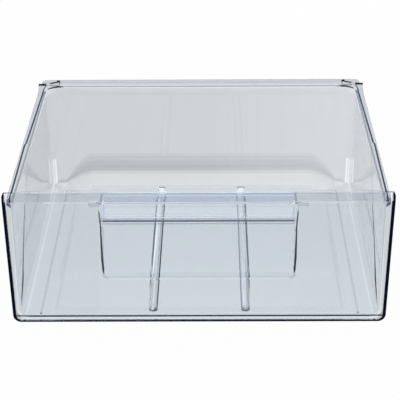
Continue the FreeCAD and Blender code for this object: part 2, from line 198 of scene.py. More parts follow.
def tone_layer(tree, layer, plain, full, socket):
    """Leads a colour to a socket: from plain to full as the layer of each face says."""
    tone = tree.nodes.new("ShaderNodeAttribute")
    tone.attribute_name = layer
    colour = colour_mix(tree.nodes, full)
    colour.inputs[first_colour].default_value = plain
    tree.links.new(tone.outputs["Fac"], colour.inputs["Factor"])
    tree.links.new(colour.outputs[mixed_colour], socket)


def clear_plastic(name, tint, depth):
    """Clear plastic with a tint for each wall and a depth colour along it.

    Two face layers are painted on: painted shade darkens the base colour towards a near-black
    blue, and painted glow adds a pale emission for highlights, glints and glowing ends.
    """
    paint = bpy.data.materials.new(name)
    paint.use_nodes = True
    tree = paint.node_tree
    skin = tree.nodes["Principled BSDF"]
    skin.inputs["Roughness"].default_value = 0.0
    skin.inputs["IOR"].default_value = plastic_bend
    skin.inputs["Transmission Weight"].default_value = 1.0
    skin.inputs["Emission Strength"].default_value = 1.0
    tone_layer(tree, "painted_shade", (*tint, 1), painted_shade_colour, skin.inputs["Base Color"])
    tone_layer(tree, "painted_glow", no_glow, painted_glow_colour, skin.inputs["Emission Color"])
    inside = tree.nodes.new("ShaderNodeVolumeAbsorption")
    inside.inputs["Color"].default_value = plastic_depth_colour
    inside.inputs["Density"].default_value = depth
    tree.links.new(inside.outputs[0], tree.nodes["Material Output"].inputs["Volume"])
    return paint


def opaque_shade_paint(name, colour):
    """An opaque paint without reflection, for painted shade where the clear plastic shows dark."""
    paint = bpy.data.materials.new(name)
    paint.use_nodes = True
    skin = paint.node_tree.nodes["Principled BSDF"]
    skin.inputs["Base Color"].default_value = colour
    skin.inputs["Roughness"].default_value = edge_roughness
    skin.inputs["Specular IOR Level"].default_value = 0.0
    return paint


# Opaque painted shade: dark lines and bands where the plastic shows dark, and the line along the rims.
dark_edge = opaque_shade_paint("dark_edge", painted_shade_colour)
rim_edge = opaque_shade_paint("rim_edge", rim_line_colour)


def blend(value):
    """A soft ramp from 0 to 1."""
    value = min(1.0, max(0.0, value))
    return value * value * (3 - 2 * value)


def mix(low, high, share):
    """The value at a share of the way from low to high."""
    return low + (high - low) * share


def finish_piece(name, shape, paint, smooth_area=math.inf):
    """The shape as a piece of the drawer. Faces below an area in square mm are shaded round."""
    mesh = bpy.data.meshes.new(name)
    shape.to_mesh(mesh)
    shape.free()
    mesh.materials.append(paint)
    mesh.set_sharp_from_angle(angle=sharp_turn)
    for face in mesh.polygons:
        face.use_smooth = face.area < smooth_area * MM * MM
    piece = bpy.data.objects.new(name, mesh)
    scene.collection.objects.link(piece)
    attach(piece, "root")
    return piece


# The tub's main sizes: heights are counted from the ground, and depths from the front.
rim_top = 149.0
floor_inside = 7.4
wall = 2.4
foot_half = 201.4
head_half = 203.4
side_taper = 1.8
rear_inside = 363.0
corner_round = 18.0
cove_round = 45.0
side_round = 8.0
cove_straight = 146.0
cove_fade = 1.8
bond_gap = 0.15
panel_back = 2.6
front_end = panel_back + bond_gap
wall_shares = (0.04, 0.15, 0.25, 0.4, 0.7, 0.96)
arc_parts = 18
round_parts = 4
quarter_turn = math.pi / 2

# The rims and the rear ledge, with the painted shade line along the rims.
rim_half = 211.9
rim_nose = 10.0
rim_wall = 2.4
lip_round = 2.0
under_round = 0.6
under_share = 0.2
edge_soft = 0.5
edge_drops = (0.5, 0.8, 1.1, 1.4, 1.7, 1.9)
rim_line = 2.1
line_nearest = 0.15
line_farthest = 0.8
ear_start = 343.0
ear_tip = 368.0
ear_half = 214.3
shelf_rear = 377.0
ledge_rear = 388.0
ledge_step = 0.15
ledge_lip = 0.8
ledge_lip_drop = 0.1
nook_half = 187.0


def inside_half(along, height):
    """Half the inside width at a place along the tub and a height."""
    rise = (height - floor_inside) / (rim_top - floor_inside)
    return mix(foot_half, head_half, rise) - side_taper * along / rear_inside


flat_half = inside_half(rear_inside, rim_top) - corner_round


def cove_at(across):
    """The curve from floor to wall, large along the rear wall and small at its corners."""
    inward = min(1.0, (flat_half - across) / (flat_half - cove_straight))
    return mix(side_round, cove_round, 1 - (1 - inward) ** cove_fade)


def wall_heights(cove):
    """Levels up the straight part of a wall."""
    low = floor_inside + cove
    high = rim_top - rim_wall - under_round
    return [mix(low, high, share) for share in wall_shares]


class WallLine:
    """One line of the tub's shape, from the floor up the wall, over the rim and down outside.

    It knows where it stands at a height, which way is out, and where its rim and ledge end.
    Each of its points has a mark, which names the strip of wall that starts there.
    """

    def __init__(self, spot, out, cove, rim_end, ledge_end, tones, glows, line_half):
        self.spot = spot
        self.out = out
        self.cove = cove
        self.rim_end = Vector((*rim_end, 0))
        self.ledge_end = Vector((*ledge_end, 0)) if ledge_end else None
        self.tones = tones
        self.glows = glows
        self.line_half = line_half
        self.at_step = False
        self.degrees = None
        self.strips = []

    def add(self, inward, height, mark="wall"):
        """A point at a height, and at a distance in from the wall's inside face."""
        x, y = self.spot(max(height, floor_inside))
        self.strips.append(((x - self.out[0] * inward, y - self.out[1] * inward, height), mark))

    def add_place(self, place, drop, mark):
        """A point of the rim, at a drop below its top."""
        self.strips.append(((place.x, place.y, rim_top - drop), mark))

    def inside_wall(self):
        """From the floor round the curve and up the inside to the lip."""
        for part in range(arc_parts + 1):
            turn = quarter_turn * part / arc_parts
            height = floor_inside + self.cove * (1 - math.cos(turn))
            self.add(self.cove - self.cove * math.sin(turn), height, f"arc{part}")
        for height in wall_heights(self.cove):
            self.add(0, height)
        for part in range(round_parts + 1):
            turn = quarter_turn * part / round_parts
            lean = lip_round * (1 - math.cos(turn))
            self.add(-lean, rim_top - lip_round + lip_round * math.sin(turn), "lip")
        self.strips[-1] = (self.strips[-1][0], "top")

    def rim(self):
        """Over the rim, round its edge or over the ledge behind it, and back to the wall."""
        root = Vector((*self.spot(rim_top), 0)) + Vector((*self.out, 0)) * wall
        reach = (self.rim_end - root).length
        way = (self.rim_end - root).normalized()
        line = min(max(self.line_half - abs(root.x), line_nearest * reach), line_farthest * reach)
        self.add_place(root + way * (line - rim_line / 2), 0, "line")
        self.add_place(root + way * (line + rim_line / 2), 0, "top")
        if self.ledge_end is None:
            self.free_edge(way)
        else:
            self.rear_ledge(way)
        soft = min(under_round, under_share * reach)
        for part in range(round_parts + 1):
            turn = quarter_turn * part / round_parts
            height = rim_top - rim_wall - soft * (1 - math.cos(turn))
            self.add(-wall - soft * (1 - math.sin(turn)), height, "under")

    def free_edge(self, way):
        """The free edge of a sliding rim."""
        self.add_place(self.rim_end - way * edge_soft, 0, "edge")
        for drop in edge_drops:
            self.add_place(self.rim_end, drop, "edge")
        self.add_place(self.rim_end - way * edge_soft, rim_wall, "under")

    def rear_ledge(self, way):
        """The rear ledge, which lies a little lower than the rim before it."""
        out = (self.ledge_end - self.rim_end).normalized()
        self.add_place(self.rim_end - way * ledge_lip, 0, "step")
        self.add_place(self.rim_end, ledge_lip_drop, "step")
        self.add_place(self.rim_end, ledge_step, "ledge")
        self.add_place(self.ledge_end - out * edge_soft, ledge_step, "ledge_end")
        self.add_place(self.ledge_end, ledge_step + edge_soft, "ledge_end")
        self.add_place(self.ledge_end, ledge_step + rim_wall - edge_soft, "ledge_end")
        self.add_place(self.ledge_end - out * edge_soft, ledge_step + rim_wall, "ledge")
        self.add_place(self.rim_end - way * edge_soft, ledge_step + rim_wall, "under_step")

    def outside_wall(self):
        """Down the outside and round the curve to the floor's underside."""
        for height in reversed(wall_heights(self.cove)):
            self.add(-wall, height)
        round_outside = self.cove + wall
        for part in reversed(range(arc_parts + 1)):
            turn = quarter_turn * part / arc_parts
            height = floor_inside + self.cove - round_outside * math.cos(turn)
            self.add(self.cove - round_outside * math.sin(turn), height, f"arc{part - 1}")

    def profile(self):
        """All points with their marks."""
        self.inside_wall()
        self.rim()
        self.outside_wall()
        return self.strips


# The painted shade on the marked strips of wall: a light shade on the walls, dark lines along
# the rims, edges and ledge step, and a painted reflection of the dim room on the rear curve,
# darkest above its middle. The glows are painted glow on the lips and the side curves.
wall_tone = 0.22
cheek_tone = 0.12
corner_tone = 0.2
shade_steps = [(0.0, 0.1), (0.35, 0.14), (0.5, 0.16), (0.58, 0.16), (0.64, 0.24), (0.68, 0.35),
               (0.75, 0.36), (0.82, 0.33), (0.9, 0.32), (0.95, 0.28), (1.01, wall_tone)]


def cove_tone(share):
    """The painted reflection on the rear curve at a share of its turn."""
    for (low, tone), (high, next_tone) in zip(shade_steps, shade_steps[1:]):
        if share < high:
            return mix(tone, next_tone, (share - low) / (high - low))
    return wall_tone


def side_curve_tone(part):
    """The tone of a side wall's curve, which comes in over its last third."""
    return wall_tone * blend(3 * part / arc_parts - 2)


rear_arcs = {f"arc{part}": cove_tone((part + 0.5) / arc_parts) for part in range(arc_parts + 1)}
side_arcs = {f"arc{part}": side_curve_tone(part) for part in range(arc_parts + 1)}
corner_arcs = {f"arc{part}": corner_tone for part in range(arc_parts + 1)}
side_tones = {"edge": 0.25, "line": 0.96, "wall": wall_tone} | side_arcs
cheek_tones = side_tones | {"wall": cheek_tone}
ear_tones = {"edge": 0.4, "line": 0.97, "wall": wall_tone} | corner_arcs
rear_tones = {"wall": wall_tone, "under": wall_tone, "step": 0.5} | rear_arcs
side_glows = {"arc4": 0.12, "arc5": 0.12, "lip": 0.6}
rear_glows = {"lip": 0.6}

# Each side wall has a slanted step behind the front panel. Ahead of it lies the cheek, and
# behind it the lines spread out to the rear corner.
step_head = 145.0
step_foot = -4.9
step_width = 1.3
cheek_step = 0.05
nose_gap = 0.8
row_gap = 0.06
line_break = 167.0
line_half_front = 208.0
line_half_break = 209.1
line_half_behind = 207.8
line_half_rear = 205.4
cheek_heads = (front_end, 9.0, 25.0, 55.0, 90.0, 120.0, step_head - step_width / 2)
side_spread = [
    (4.5, 147), (8, 148), (12, 149.2), (17, 150.4), (21.5, 151.6), (22.4, 152.8), (22.8, 154),
    (23.6, 155.2), (24.3, 156.4), (24.8, 158), (25.6, 160), (26.4, 162), (27.2, 164), (28, 166),
    (29, 168), (30.5, 170), (33, 172), (38, 178), (60, 196), (100, 222), (150, 250), (200, 280),
    (250, 305), (295, 325), (330, 338)]


def rim_end_at(along):
    """The rim's outer edge beside a place along the side wall."""
    nose = (along - front_end) / (rim_nose - front_end)
    half = mix(inside_half(0, rim_top) + wall + nose_gap, rim_half, min(1.0, nose))
    ear = max(0.0, along - ear_start) / (ear_tip - ear_start)
    return half + (ear_half - rim_half) * min(1.0, ear)


def side_line(side, foot, head, ahead, near):
    """A line up a side wall, ahead of the step or behind it, and never nearer than near."""

    def spot(height):
        rise = min(1.0, (height - floor_inside) / (rim_top - floor_inside))
        along = max(near, mix(foot, head, rise))
        inset = cheek_step * (1 - rise) if ahead and along > near else 0.0
        return (side * (inside_half(along, height) - inset), along)

    if head < line_break:
        line_half = mix(line_half_front, line_half_break, head / line_break)
    else:
        share = (head - line_break) / (ear_start - line_break)
        line_half = mix(line_half_behind, line_half_rear, share)
    rim_end = (side * rim_end_at(head), head)
    tones = cheek_tones if ahead else side_tones
    return WallLine(spot, (side, 0), side_round, rim_end, None, tones, side_glows, line_half)


def side_lines(side):
    """Lines of one side wall, from the front panel to the rear corner."""
    lines = []
    lean = step_head - step_foot
    near = front_end
    for head in cheek_heads:
        lines.append(side_line(side, head - lean, head, True, near))
        near += row_gap
    lines[-1].at_step = True
    half_step = step_width / 2
    lines.append(side_line(side, step_foot + half_step, step_head + half_step, False, near))
    lines[-1].at_step = True
    for foot, head in side_spread:
        lines.append(side_line(side, foot, head, False, near))
    return lines


# The rear corners are upright rounds. The rim widens to an ear beside each of them, and
# past the ear the ledge begins. Places are given for each angle round the corner.
corner_turns = (0, 10, 20, 26, 38, 45, 60, 75, 90)
corner_rims = {0: (212.1, 345.0), 10: (213.2, 357.0), 20: (ear_half, ear_tip), 26: (ear_half, 369.5),
               38: (210.0, 370.0), 45: (207.0, 370.0), 60: (199.0, 370.0), 75: (193.0, 373.5),
               90: (nook_half, shelf_rear)}
corner_ledges = {45: (210.5, 384.0), 60: (206.5, ledge_rear), 75: (196.0, ledge_rear),
                 90: (187.5, ledge_rear)}
corner_line_halves = {0: 205.6, 10: 206.6}
ear_line_half = 207.2
ear_turn = 20
rear_turn = 60
rear_corner_lines = 4
rear_line_half = 208.6


def corner_line(side, degrees):
    """A line up an upright rear corner."""
    turn = math.radians(degrees)

    def spot(height):
        half = inside_half(rear_inside, height) - corner_round
        across = half + corner_round * math.cos(turn)
        return (side * across, rear_inside - corner_round * (1 - math.sin(turn)))

    rim_x, rim_y = corner_rims[degrees]
    ledge_end = None
    if degrees in corner_ledges:
        ledge_x, ledge_y = corner_ledges[degrees]
        ledge_end = (side * ledge_x, ledge_y)
    tones = side_tones if degrees < ear_turn else ear_tones if degrees < rear_turn else rear_tones
    out = (side * math.cos(turn), math.sin(turn))
    rim_end = (side * rim_x, rim_y)
    line_half = corner_line_halves.get(degrees, ear_line_half)
    line = WallLine(spot, out, side_round, rim_end, ledge_end, tones, {}, line_half)
    line.degrees = degrees
    return line


def rear_line(across):
    """A line up the rear wall."""

    def spot(height):
        half = inside_half(rear_inside, height) - corner_round
        return (across / flat_half * half, rear_inside)

    place = across / flat_half * nook_half
    rim_end = (place, shelf_rear)
    ledge_end = (place, ledge_rear)
    cove = cove_at(abs(across))
    return WallLine(spot, (0, 1), cove, rim_end, ledge_end, rear_tones, rear_glows, rear_line_half)


# The rear wall's lines stand close together near the corners and beside the runners, where
# its curve changes most.
left_places = [-181, -178, -175, -172, -169, -166, -163, -160, -156, -151, -146, -130, -110, -80,
               -65, -59.3, -58.9, -57.1, -56.8, -54.3, -51.7, -49.2, -48.9, -47.1, -46.7, -40, -20]
rear_places = left_places + [-place for place in reversed(left_places)]

left = side_lines(-1) + [corner_line(-1, degrees) for degrees in corner_turns]
rear = [rear_line(place) for place in rear_places]
right = side_lines(1) + [corner_line(1, degrees) for degrees in corner_turns]
wall_lines = left + rear + list(reversed(right))
rear_first = len(left) - rear_corner_lines
rear_last = len(wall_lines) - 1 - rear_first

# Two runners are moulded into the floor: a round-ended groove inside, and a hollow foot
# below it that reaches the ground.
runner_half = 53.0
runner_front = 27.0
runner_rear = 335.5
runner_round = 4.5
groove_round = 2.5
groove_slope = 0.35
groove_sole = 2.0
groove_reach = 6.0
# The grooves' steep faces in the wall's curve carry a painted glow. In the floor each groove's left
# flank carries a painted glow and its right flank painted shade.
curve_groove_glow = 0.2
curve_groove_steep = 0.8
floor_groove_glow = 0.25
floor_groove_shade = 0.2
floor_groove_steep = 0.9


def in_runner(x, y, radius):
    """How far a place lies inside a round-ended runner, from 0 outside it to 1 inside it."""
    past = max(runner_front - y, y - runner_rear, 0.0)
    away = math.hypot(abs(x) - runner_half, past)
    return blend((radius + groove_slope - away) / groove_slope)


def sunk(point, inner):
    """A floor point let down into the groove, or the runner's outside let down to the ground."""
    x, y, z = point
    if inner:
        return (x, y, mix(z, groove_sole, in_runner(x, y, groove_round)))
    return (x, y, mix(z, 0.0, in_runner(x, y, runner_round)))


def add_corner(shape, point):
    """A corner of a shape at a place in millimetres."""
    x, y, z = point
    return shape.verts.new((x * MM, front + y * MM, z * MM))


# The wall spans from line to line. Its tones are weaker towards the right, where more light
# comes from, and each upright corner has two glints low down.
right_light = 0.3
left_shade = 0.05
glint = 0.4
glint_turns = {20, 26, 38, 45}
glint_gap_turns = {26, 38}
glint_gap = 0.35
glint_low = 12.0
glint_high = 48.0

tub_shape = bmesh.new()
dark = tub_shape.faces.layers.float.new("painted_shade")
pale = tub_shape.faces.layers.float.new("painted_glow")
columns = []
for line in wall_lines:
    strips = line.profile()
    column = []
    for step, (point, mark) in enumerate(strips):
        if "arc" in mark:
            point = sunk(point, step < len(strips) / 2)
        column.append(add_corner(tub_shape, point))
    columns.append(column)


def light_at(face):
    """How strong the tones are at a face between two lines, by its place across."""
    near, far = face.verts[0], face.verts[1]
    across = (near.co.x + far.co.x) / (2 * foot_half * MM)
    return 1 - right_light * max(0.0, across) - left_shade * min(0.0, across)


def dress_wall(face, first, second, step, mark):
    """Gives a face between two lines its painted shade, painted glow and material."""
    count = len(first.strips)
    spot = face.calc_center_median() / MM
    face[dark] = (first.tones.get(mark, 0) + second.tones.get(mark, 0)) / 2 * light_at(face)
    # The rim line is opaque painted shade, as is the inside face of each side wall's step.
    if mark == "line" and "line" in first.tones and "line" in second.tones:
        face.material_index = rim_slot
    if first.at_step and second.at_step and mark == "wall" and step < count / 2:
        face.material_index = dark_slot
    at_groove = abs(abs(spot.x) - runner_half) < groove_reach
    if "arc" in mark and at_groove and spot.y - front / MM < runner_rear + runner_round:
        face.normal_update()
        if abs(face.normal.z) < curve_groove_steep:
            face[pale] = curve_groove_glow
    face[pale] = max(face[pale], (first.glows.get(mark, 0) + second.glows.get(mark, 0)) / 2)
    level = sum(corner.co.z for corner in face.verts) / (4 * MM)
    turns = {first.degrees, second.degrees}
    if step < count / 3 and turns <= glint_turns and glint_low < level < glint_high:
        face[pale] = glint * (glint_gap if turns == glint_gap_turns else 1.0)


for index, (near, far) in enumerate(zip(columns, columns[1:])):
    first = wall_lines[index]
    second = wall_lines[index + 1]
    for step in range(len(near) - 1):
        face = tub_shape.faces.new((near[step], far[step], far[step + 1], near[step + 1]))
        dress_wall(face, first, second, step, first.strips[step][1])

# The floor closes the tub between the feet of the lines, and its middle field stands up a
# little behind soft borders.
field_half = 163.0
field_front = 24.0
field_slope = 3.0
field_fade = 14.0
field_rear_fade = 12.0
field_rise = 0.9
border_shade = 0.12
border_level = 0.995


def field_height(x, y):
    """How far the floor's field stands up at a place."""
    across = blend((field_half + field_slope - abs(x)) / field_slope)
    along = blend((y - field_front + field_fade) / field_fade)
    at_rear = blend((rear_inside - cove_round - y) / field_rear_fade)
    return field_rise * across * along * at_rear


def dress_floor(face, end):
    """Gives a floor face painted glow or painted shade on a groove's flanks, or painted shade on the
    field's border.
    """
    face.normal_update()
    middle = face.calc_center_median() / MM
    at_groove = abs(abs(middle.x) - runner_half) < groove_reach
    if at_groove and abs(face.normal.z) < floor_groove_steep:
        if middle.x < math.copysign(runner_half, middle.x):
            face[pale] = floor_groove_glow
        else:
            face[dark] = floor_groove_shade
    elif end == 0 and abs(face.normal.z) < border_level:
        face[dark] = border_shade


def floor_grid(end):
    """The floor between the wall lines' ends, inside when end is 0 and below when it is -1."""
    left_edge = [column[end] for column in columns[:rear_first + 1]]
    right_edge = [column[end] for column in reversed(columns[rear_last:])]
    back_edge = [column[end] for column in columns[rear_first:rear_last + 1]]
    xs = [spot.co.x for spot in back_edge]
    shares = [(x - xs[0]) / (xs[-1] - xs[0]) for x in xs]
    front_left, front_right = left_edge[0].co.copy(), right_edge[0].co.copy()
    back_left, back_right = back_edge[0].co.copy(), back_edge[-1].co.copy()
    level = left_edge[0].co.z / MM
    rows = []
    for left_spot, right_spot in zip(left_edge[:-1], right_edge[:-1]):
        far = (left_spot.co.y - front_left.y) / (back_left.y - front_left.y)
        row = [left_spot]
        for share, back_spot in zip(shares[1:-1], back_edge[1:-1]):
            sides = left_spot.co * (1 - share) + right_spot.co * share
            front_part = (front_left * (1 - share) + front_right * share) * (1 - far)
            along = front_part + back_spot.co * far
            corners = front_part + (back_left * (1 - share) + back_right * share) * far
            spot = sides + along - corners
            x = spot.x / MM
            y = (spot.y - front) / MM
            height = level + (field_height(x, y) if end == 0 else 0.0)
            spot.z = sunk((x, y, height), end == 0)[2] * MM
            row.append(tub_shape.verts.new(spot))
        rows.append(row + [right_spot])
    rows.append(back_edge)
    for lower, upper in zip(rows, rows[1:]):
        for i in range(len(lower) - 1):
            face = tub_shape.faces.new((lower[i], lower[i + 1], upper[i + 1], upper[i]))
            dress_floor(face, end)
    return rows[0]


# The tub's front ends, bonded to the panel, carry a painted glow, and an opaque dark strip
# along the floor's upper edge is painted shade.
end_line = 1.75
floor_front = floor_grid(0)
under_front = floor_grid(-1)
middle = [tub_shape.verts.new(spot.co - Vector((0, 0, end_line * MM))) for spot in floor_front]
ends = []
for i in range(len(floor_front) - 1):
    face = tub_shape.faces.new((floor_front[i], floor_front[i + 1], middle[i + 1], middle[i]))
    face.material_index = dark_slot
    ends.append(tub_shape.faces.new((middle[i], middle[i + 1], under_front[i + 1], under_front[i])))
for column, corner in ((columns[0], middle[0]), (columns[-1], middle[-1])):
    foot = (column[0], column[1], column[-2], column[-1], corner)
    ends.append(tub_shape.faces.new(foot))
    low = 1
    high = len(column) - 2
    while low < arc_parts + 1 + len(wall_shares):
        ends.append(tub_shape.faces.new((column[low], column[low + 1], column[high - 1], column[high])))
        low += 1
        high -= 1
    ends.append(tub_shape.faces.new(column[low:high + 1]))
for face in ends:
    face[pale] = 1.0
    face[dark] = 1.0
bmesh.ops.recalc_face_normals(tub_shape, faces=tub_shape.faces)
tub_plastic = clear_plastic("tub_plastic", tub_tint, tub_depth)
tub_shell = finish_piece("tub_shell", tub_shape, tub_plastic)
tub_shell.data.materials.append(dark_edge)
tub_shell.data.materials.append(rim_edge)
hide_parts("tub")

# Stop pads lie on the rear ledge, one beside each corner, with a small hook at the tip of
# each ear, and a web under the front of each rim ties it to the side wall. All are moulded
# on the tub. Their faces carry painted shade, so that their outlines show as dark lines.
bar_foot = rim_top + 0.9
ear_bar_foot = rim_top + 0.03
pad_bars = [
    ([(199.5, 365.6), (186.6, 365.6), (186.6, 366.8), (199.5, 366.8)], 147.0, 148.4, 0.92),
    ([(186.2, 366.0), (187.0, 366.0), (187.0, 376.8), (186.2, 376.8)], bar_foot, 151.0, 0.9),
    ([(199.2, 369.0), (187.0, 376.0), (187.0, 377.0), (199.2, 370.0)], bar_foot, 151.3, 0.95),
    ([(190.5, 374.0), (187.0, 376.0), (187.0, 377.0), (190.5, 376.4)], bar_foot, 152.2, 0.97),
    ([(204.0, 365.6), (214.0, 365.6), (214.0, 370.2), (204.0, 370.2)], ear_bar_foot, 150.1, 0.93)]
web_length = 24.0
web_low = 142.2
web_high = rim_top - rim_wall - 0.05
web_ring = [(205.9, 3.0), (206.6, 3.0), (rim_half - 0.3, rim_nose), (206.0, web_length)]
web_tones = (0.2, 0.4, 0.3, 0.0)


def prism(shape, low_ring, high_ring):
    """Adds a closed block between two rings of points; gives its faces, the sides first."""
    low = [add_corner(shape, point) for point in low_ring]
    high = [add_corner(shape, point) for point in high_ring]
    sides = []
    for i in range(len(low)):
        following = (i + 1) % len(low)
        sides.append(shape.faces.new((low[i], low[following], high[following], high[i])))
    return sides + [shape.faces.new(list(reversed(low))), shape.faces.new(high)]


def upright(shape, ring, low, high):
    """Adds a block over a flat ring, between two levels."""
    return prism(shape, [(x, y, low) for x, y in ring], [(x, y, high) for x, y in ring])


pads = bmesh.new()
dark = pads.faces.layers.float.new("painted_shade")
for side in (-1, 1):
    for ring, low, high, tone in pad_bars:
        for face in upright(pads, [(side * x, y) for x, y in ring], low, high):
            face[dark] = tone
    web_faces = upright(pads, [(side * x, y) for x, y in web_ring], web_low, web_high)
    for face, tone in zip(web_faces, web_tones):
        face[dark] = tone
bmesh.ops.recalc_face_normals(pads, faces=pads.faces)
finish_piece("tub_pads", pads, tub_plastic, 0)

# Thin upright ribs of the same clear plastic stiffen the floor from below: one along each
# side and one across, under the rear curve. They are moulded on the tub. Their front ends carry
# painted shade, and the dark front ends of the two runners, thin opaque arcs of painted shade,
# are made with them.
rib_tint = (0.95, 0.96, 0.98)
rib_half = 181.0
rib_wall = 1.4
rib_front = 12.3
rib_top = 4.95
rib_gap = 2.0
rib_tones = (0.6, 0.15, 0, 0.15)
cross_rib = 345.0
cross_half = 178.0
cross_end_top = 4.9
cross_middle_half = 148.0
cross_front_top = 12.2
cross_rear_top = 12.9
runner_end_parts = 6
runner_end_degrees = 12
runner_end_inner = 4.95
runner_end_outer = 5.2
runner_end_low = 0.9
runner_end_high = 2.5

ribs = bmesh.new()
dark = ribs.faces.layers.float.new("painted_shade")
for side in (-1, 1):
    x0 = side * rib_half - rib_wall / 2
    x1 = side * rib_half + rib_wall / 2
    rear_end = cross_rib - rib_gap
    ring = [(x0, rib_front), (x1, rib_front), (x1, rear_end), (x0, rear_end)]
    for face, tone in zip(upright(ribs, ring, 0.0, rib_top), rib_tones):
        face[dark] = tone
cross_places = (-cross_half, -cross_middle_half, cross_middle_half, cross_half)
cross_end_tops = (cross_end_top, cross_end_top)
cross_tops = (cross_end_tops, (cross_front_top, cross_rear_top), cross_end_tops)
for x0, x1, (front_top, rear_top) in zip(cross_places, cross_places[1:], cross_tops):
    cross_front = cross_rib - rib_wall
    ring = [(x0, cross_front), (x1, cross_front), (x1, cross_rib), (x0, cross_rib)]
    heights = (front_top, front_top, rear_top, rear_top)
    prism(ribs, [(x, y, 0.0) for x, y in ring], [(x, y, z) for (x, y), z in zip(ring, heights)])


def runner_end_spot(side, part, radius):
    """A place on the round front end of a runner."""
    angle = math.radians(part * runner_end_degrees)
    return (side * runner_half + radius * math.sin(angle), runner_front - radius * math.cos(angle))


for side in (-1, 1):
    for part in range(-runner_end_parts, runner_end_parts):
        ring = [runner_end_spot(side, part, runner_end_inner),
                runner_end_spot(side, part + 1, runner_end_inner),
                runner_end_spot(side, part + 1, runner_end_outer),
                runner_end_spot(side, part, runner_end_outer)]
        for face in upright(ribs, ring, runner_end_low, runner_end_high):
            face.material_index = dark_slot
bmesh.ops.recalc_face_normals(ribs, faces=ribs.faces)
rib_plastic = clear_plastic("rib_plastic", rib_tint, tub_depth)
tub_ribs = finish_piece("tub_ribs", ribs, rib_plastic, 0)
tub_ribs.data.materials.append(dark_edge)

# The front panel is a flat moulded sheet with a skirt all round and a strip on top that
# leans back. The walls of the finger recess stand behind it. It is bonded over the tub's
# open front, and its skirt shows dark from the front, as an opaque band of painted shade.
panel_tint = (0.88, 0.908, 0.93)
panel_depth = 8.0
panel_soft = 0.35
panel_smooth_area = 40
merge_gap = 0.01
flat_turn = math.radians(1)
edge_turn = math.radians(30)


def moulded_copy(node, soft, cuts):
    """A node's shape with merged flat faces and slightly rounded edges, cut along some planes."""
    shape = bmesh.new()
    shape.from_mesh(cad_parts[node].data)
    bmesh.ops.remove_doubles(shape, verts=shape.verts, dist=merge_gap * MM)
    bmesh.ops.dissolve_limit(shape, angle_limit=flat_turn, verts=shape.verts, edges=shape.edges)
    pairs = [edge for edge in shape.edges if len(edge.link_faces) == 2]
    sharp = [edge for edge in pairs if edge.calc_face_angle() > edge_turn]
    bmesh.ops.bevel(shape, geom=sharp, offset=soft * MM, segments=2, profile=0.5, affect="EDGES",
                    clamp_overlap=True)
    for place, normal in cuts:
        geometry = list(shape.verts) + list(shape.edges) + list(shape.faces)
        bmesh.ops.bisect_plane(shape, geom=geometry, plane_co=Vector(place) * MM, plane_no=normal)
    return shape


# The skirt's dark band is painted shade: an opaque strip round the front face's outline,
# narrower along the foot than up the sides.
skirt = 2.4
panel_foot_half = 211.0
panel_spread = 4.5 / 149.0
panel_round = 9.0
band_side = 3.7
band_foot = 1.9
band_head = 157.0
band_depth = 0.4
band_turns = (22.5, 45, 67.5)
corner_x = panel_foot_half - panel_round

# Levels and places across where the sheet is divided. Most are where its tone changes, and
# the plain ones only keep its faces short.
foot_shade = 5.5
floor_shade_low = 6.1
floor_shade_high = 7.75
crease_low = 113.8
crease_high = 115.2
lean_low = 148.4
lean_middle = 149.0
lean_line = 149.6
lean_high = 150.3
plain_levels = (12, 57.3, 62, 70, 80, 95)
recess_head = 121
flank_start = 112
flank_end = 171
side_shade = 203.6
side_dark = 205.6
panel_levels = (band_foot, foot_shade, floor_shade_low, floor_shade_high, *plain_levels, crease_low, crease_high,
                recess_head, lean_low, lean_line, lean_high)


def level_cut(level):
    """A level plane, as a place and the way it faces."""
    return ((0, 0, level), (0, 0, 1))


panel_cuts = [level_cut(level) for level in panel_levels]
for side in (-1, 1):
    for across in (flank_start, flank_end, side_shade, side_dark):
        panel_cuts.append(((side * across, 0, 0), (1, 0, 0)))
    panel_cuts.append(((side * (panel_foot_half - band_side), 0, 0), (side, 0, -panel_spread)))
    for degrees in band_turns:
        turn = math.radians(degrees)
        inner = panel_round - mix(band_side, band_foot, degrees / 90)
        place = (side * (corner_x + inner * math.cos(turn)), 0, panel_round - inner * math.sin(turn))
        panel_cuts.append((place, (side * math.cos(turn), 0, -math.sin(turn))))

# Depths, heights and gaps by which the panel's faces are told apart.
front_depth = 0.2
strip_depth = 0.5
lean_depth = 1.0
back_near = 2.5
back_far = 2.7
recess_depth = 2.8
skirt_end_depth = 11.0
skirt_floor = 3.0
skirt_inside_gap = 0.4
skirt_end_gap = 0.3
floor_shade_inset = 0.2
recess_half = 105.0
grip_half = 106.0
recess_low = 58.0
recess_high = 124.0
facing = 0.9
mostly_facing = 0.8

# Painted shade and painted glow on those faces. The left flank is shaded a little more than the right.
skirt_tone = 0.4
side_dark_tone = 0.5
side_shade_tone = 0.3
foot_shade_tone = 0.2
left_flank_tone = 0.04
right_flank_tone = 0.015
crease_tone = 0.5
lean_tone = 0.4
lean_glow = 0.08
recess_glow = 0.06
skirt_floor_glow = 0.2


def band_at(x, z):
    """How far in from the panel's outline a place lies, and how wide the dark band is there."""
    if z >= panel_round:
        return panel_foot_half + panel_spread * z - x, band_side
    if x <= corner_x:
        return z, band_foot
    inward = panel_round - math.hypot(x - corner_x, panel_round - z)
    turn = math.atan2(x - corner_x, panel_round - z)
    return inward, mix(band_foot, band_side, turn / quarter_turn)


